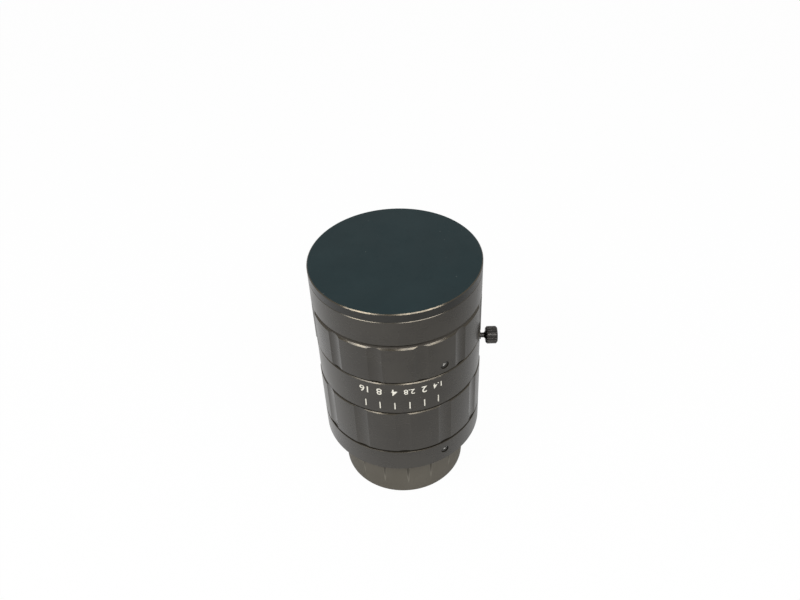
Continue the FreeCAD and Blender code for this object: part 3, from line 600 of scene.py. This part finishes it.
stops = len(APERTURES) - 1
for i, number in enumerate(APERTURES):
    azimuth = FIRST_AZIMUTH - IRIS_TURN * i / stops
    tag = number.replace(".", "_")
    size = NUMBER_SIZE if len(number) < 3 else LONG_NUMBER_SIZE
    lettered("aperture_number_" + tag, number, size, SCALE_R, azimuth, NUMBER_HEIGHT, "iris_ring")
    stroke("aperture_tick_" + tag, TICK_WIDTH, TICK_LENGTH, SCALE_R, azimuth, TICK_HEIGHT, "iris_ring")


# Floor, surroundings, light and camera

def floor_and_world():
    """A plain pale floor that keeps a soft shadow, and surroundings that look white to the camera.

    Reflections see both. The floor is mirrored less towards the right, and the surroundings less
    overhead than near the horizon, which leaves the barrel's right side and its end faces dark.
    """
    half = FLOOR_HALF
    corners = [(-half, -half, 0), (half, -half, 0), (half, half, 0), (-half, half, 0)]
    mesh = bpy.data.meshes.new("floor")
    mesh.from_pydata(corners, [], [(0, 1, 2, 3)])
    floor = bpy.data.objects.new("floor", mesh)
    bpy.context.scene.collection.objects.link(floor)
    material = bpy.data.materials.new("pale floor")
    material.use_nodes = True
    sheet = Sheet(material.node_tree)
    sheet.tree.nodes.clear()
    path = sheet.node("ShaderNodeLightPath")
    seen = sheet.math("ADD", path.outputs["Is Camera Ray"], path.outputs["Is Glossy Ray"])
    seen = sheet.math("ADD", seen, path.outputs["Is Transmission Ray"], clamp=True)
    vector = sheet.place()
    cloud = sheet.noise(vector, 3.0, 2.0)
    tone = sheet.blend(cloud, rgb(0.88, 0.88, 0.87), rgb(0.92, 0.92, 0.91))
    matt = sheet.node("ShaderNodeBsdfDiffuse")
    sheet.put(tone, matt.inputs["Color"])
    glow = sheet.node("ShaderNodeEmission")
    dimmer = sheet.ramp(sheet.split(vector)[0], -0.05, 0.1, 0.0, 0.4)
    mirrored = sheet.math("MULTIPLY", path.outputs["Is Glossy Ray"], dimmer)
    sheet.put(sheet.math("SUBTRACT", 1.0, mirrored), glow.inputs["Strength"])
    mix = sheet.node("ShaderNodeMixShader")
    sheet.put(sheet.math("MULTIPLY", seen, FLOOR_GLOW), mix.inputs[0])
    sheet.put(matt.outputs[0], mix.inputs[1])
    sheet.put(glow.outputs[0], mix.inputs[2])
    sheet.put(mix.outputs[0], sheet.node("ShaderNodeOutputMaterial").inputs["Surface"])
    mesh.materials.append(material)

    world = bpy.data.worlds.new("studio")
    world.use_nodes = True
    bpy.context.scene.world = world
    sheet = Sheet(world.node_tree)
    sheet.tree.nodes.clear()
    path = sheet.node("ShaderNodeLightPath")
    seen = sheet.math("ADD", path.outputs["Is Camera Ray"], path.outputs["Is Transmission Ray"])
    rise = sheet.split(sheet.node("ShaderNodeTexCoord").outputs["Generated"])[2]
    mirrored = sheet.math("MULTIPLY", path.outputs["Is Glossy Ray"],
                          sheet.ramp(rise, 0.35, 0.6, 0.667, 0.253))
    seen = sheet.math("ADD", seen, mirrored, clamp=True)
    strength = sheet.math("MULTIPLY_ADD", seen, 1.0 - WORLD_LIGHT, WORLD_LIGHT)
    back = sheet.node("ShaderNodeBackground")
    back.inputs["Color"].default_value = rgb(1.0, 1.0, 1.0)
    sheet.put(strength, back.inputs["Strength"])
    sheet.put(back.outputs[0], sheet.node("ShaderNodeOutputWorld").inputs["Surface"])


def soft_box(name, azimuth, elevation, half_width, half_height, radiance):
    """A rectangular lamp aimed at the barrel from a direction, sized by the angles that it fills."""
    turn = math.radians(azimuth)
    rise = math.radians(elevation)
    level = math.cos(rise)
    away = Vector((math.sin(turn) * level, -math.cos(turn) * level, math.sin(rise)))
    lamp = bpy.data.lights.new(name, "AREA")
    lamp.shape = "RECTANGLE"
    lamp.size = 2 * LAMP_DISTANCE * math.tan(math.radians(half_width))
    lamp.size_y = 2 * LAMP_DISTANCE * math.tan(math.radians(half_height))
    lamp.energy = radiance * math.pi * lamp.size * lamp.size_y
    holder = bpy.data.objects.new(name, lamp)
    holder.location = LAMP_AIM + away * LAMP_DISTANCE
    holder.rotation_euler = away.to_track_quat("Z", "Y").to_euler()
    bpy.context.scene.collection.objects.link(holder)


floor_and_world()
soft_box("left_softbox", azimuth=-49.0, elevation=43.5, half_width=15.0, half_height=7.0, radiance=11.0)
soft_box("right_softbox", azimuth=30.0, elevation=47.0, half_width=20.0, half_height=7.0, radiance=9.0)

# The camera was fitted to the circles of the rings: place, axes and lens follow from that fit
camera_data = bpy.data.cameras.new("camera")
camera_data.sensor_width = 36.0
camera_data.lens = 34.89816
camera = bpy.data.objects.new("camera", camera_data)
camera.matrix_world = Matrix((
    (0.99858211, 0.05308208, -0.00400784, 0.0),
    (-0.03717892, 0.64156332, -0.76616854, -0.137252314),
    (-0.03809854, 0.76523121, 0.64262719, 0.166964271),
    (0.0, 0.0, 0.0, 1.0),
))
bpy.context.scene.collection.objects.link(camera)
bpy.context.scene.camera = camera
bpy.context.scene.view_settings.view_transform = "Standard"
